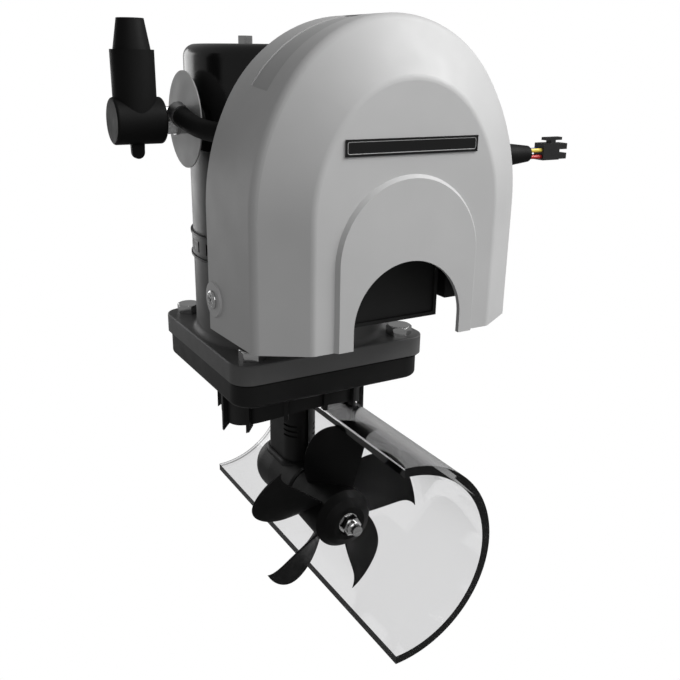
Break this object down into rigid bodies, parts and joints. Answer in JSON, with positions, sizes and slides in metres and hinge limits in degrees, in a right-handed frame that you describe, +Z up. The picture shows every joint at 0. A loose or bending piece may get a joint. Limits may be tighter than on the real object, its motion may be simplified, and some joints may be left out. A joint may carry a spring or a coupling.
{
  "type": "bow thruster",
  "caption": "Electric bow thruster: covered motor on a bracket, saddle and gear leg with a bladed propeller in a clear half section of its tunnel.",
  "frame": {"origin": "on the tunnel's axis, straight below the motor's shaft", "axes": "+Y along the tunnel away from the propeller, +Z up along the motor's shaft, +X towards the half of the tunnel that is kept"},
  "size_m": [0.3294, 0.325, 0.4255],
  "materials": {
    "clear_plastic": "polished",
    "black_composite": "satin",
    "bracket_paint": "satin",
    "motor_paint": "gloss",
    "motor_body_paint": "satin",
    "cover_grey": "satin",
    "stainless": "bright",
    "steel": "machined",
    "bronze": "machined",
    "copper": "plain",
    "magnet": "plain",
    "rubber": "matte",
    "disc_plastic": "matte",
    "black_plastic": "satin",
    "name_plate": "gloss",
    "wire_black": "satin",
    "wire_blue": "satin",
    "wire_red": "satin",
    "wire_yellow": "satin"
  },
  "bodies": {
    "housing": {"tunnel_section": "clear_plastic", "saddle": "black_composite", "saddle_inserts": "bronze", "saddle_gasket": "rubber", "motor_bracket": "bracket_paint", "bracket_bolts": "stainless", "gear_leg": "black_composite", "bearing_carrier": "black_composite", "shaft_seal": "rubber", "propeller_bearings": "steel", "leg_bearings": "steel", "motor_casing": "motor_body_paint", "field_magnets": "magnet", "motor_end_cap": "motor_paint", "motor_through_bolts": "stainless", "brush_ring": "black_plastic", "brushes": "magnet", "motor_bearings": "steel", "clamp_band": "bracket_paint", "clamp_screw": "bracket_paint", "terminal_stud": "stainless", "terminal_insulator": "black_plastic", "terminal_disc": "disc_plastic", "terminal_nuts": "stainless", "cable_lug": "steel", "motor_cable": "rubber", "terminal_boot": "rubber", "motor_cover": "cover_grey", "cover_screws": "stainless", "badge_plate": "name_plate", "component_board": "black_plastic", "control_box": "black_plastic", "contactor": "black_plastic", "contactor_studs": "copper", "contactor_bar": "copper", "control_unit": "black_plastic", "loom_gland": "black_plastic", "loom_cable": "rubber", "loom_sleeve": "rubber", "loom_plug": "black_plastic", "wire_black": "wire_black", "wire_blue": "wire_blue", "wire_red": "wire_red", "wire_yellow": "wire_yellow"},
    "motor_rotor": {"motor_shaft": "steel", "armature": "steel", "commutator": "copper", "shaft_coupling": "steel", "drive_shaft": "steel", "drive_pinion": "steel"},
    "propeller_train": {"prop_shaft": "stainless", "driven_gear": "steel", "propeller": "black_composite", "drive_pin": "stainless", "prop_washer": "stainless", "prop_nut": "stainless"}
  },
  "joints": [
    {"name": "motor_spin", "type": "hinge", "parent": "housing", "child": "motor_rotor", "pos_m": [0, 0, 0], "axis": [0, 0, 1], "continuous": true},
    {"name": "propeller_spin", "type": "hinge", "parent": "housing", "child": "propeller_train", "pos_m": [0, 0, 0], "axis": [0, 1, 0], "continuous": true}
  ],
  "couplings": [
    {"joint": "propeller_spin", "follows": "motor_spin", "ratio": -0.66667}
  ]
}
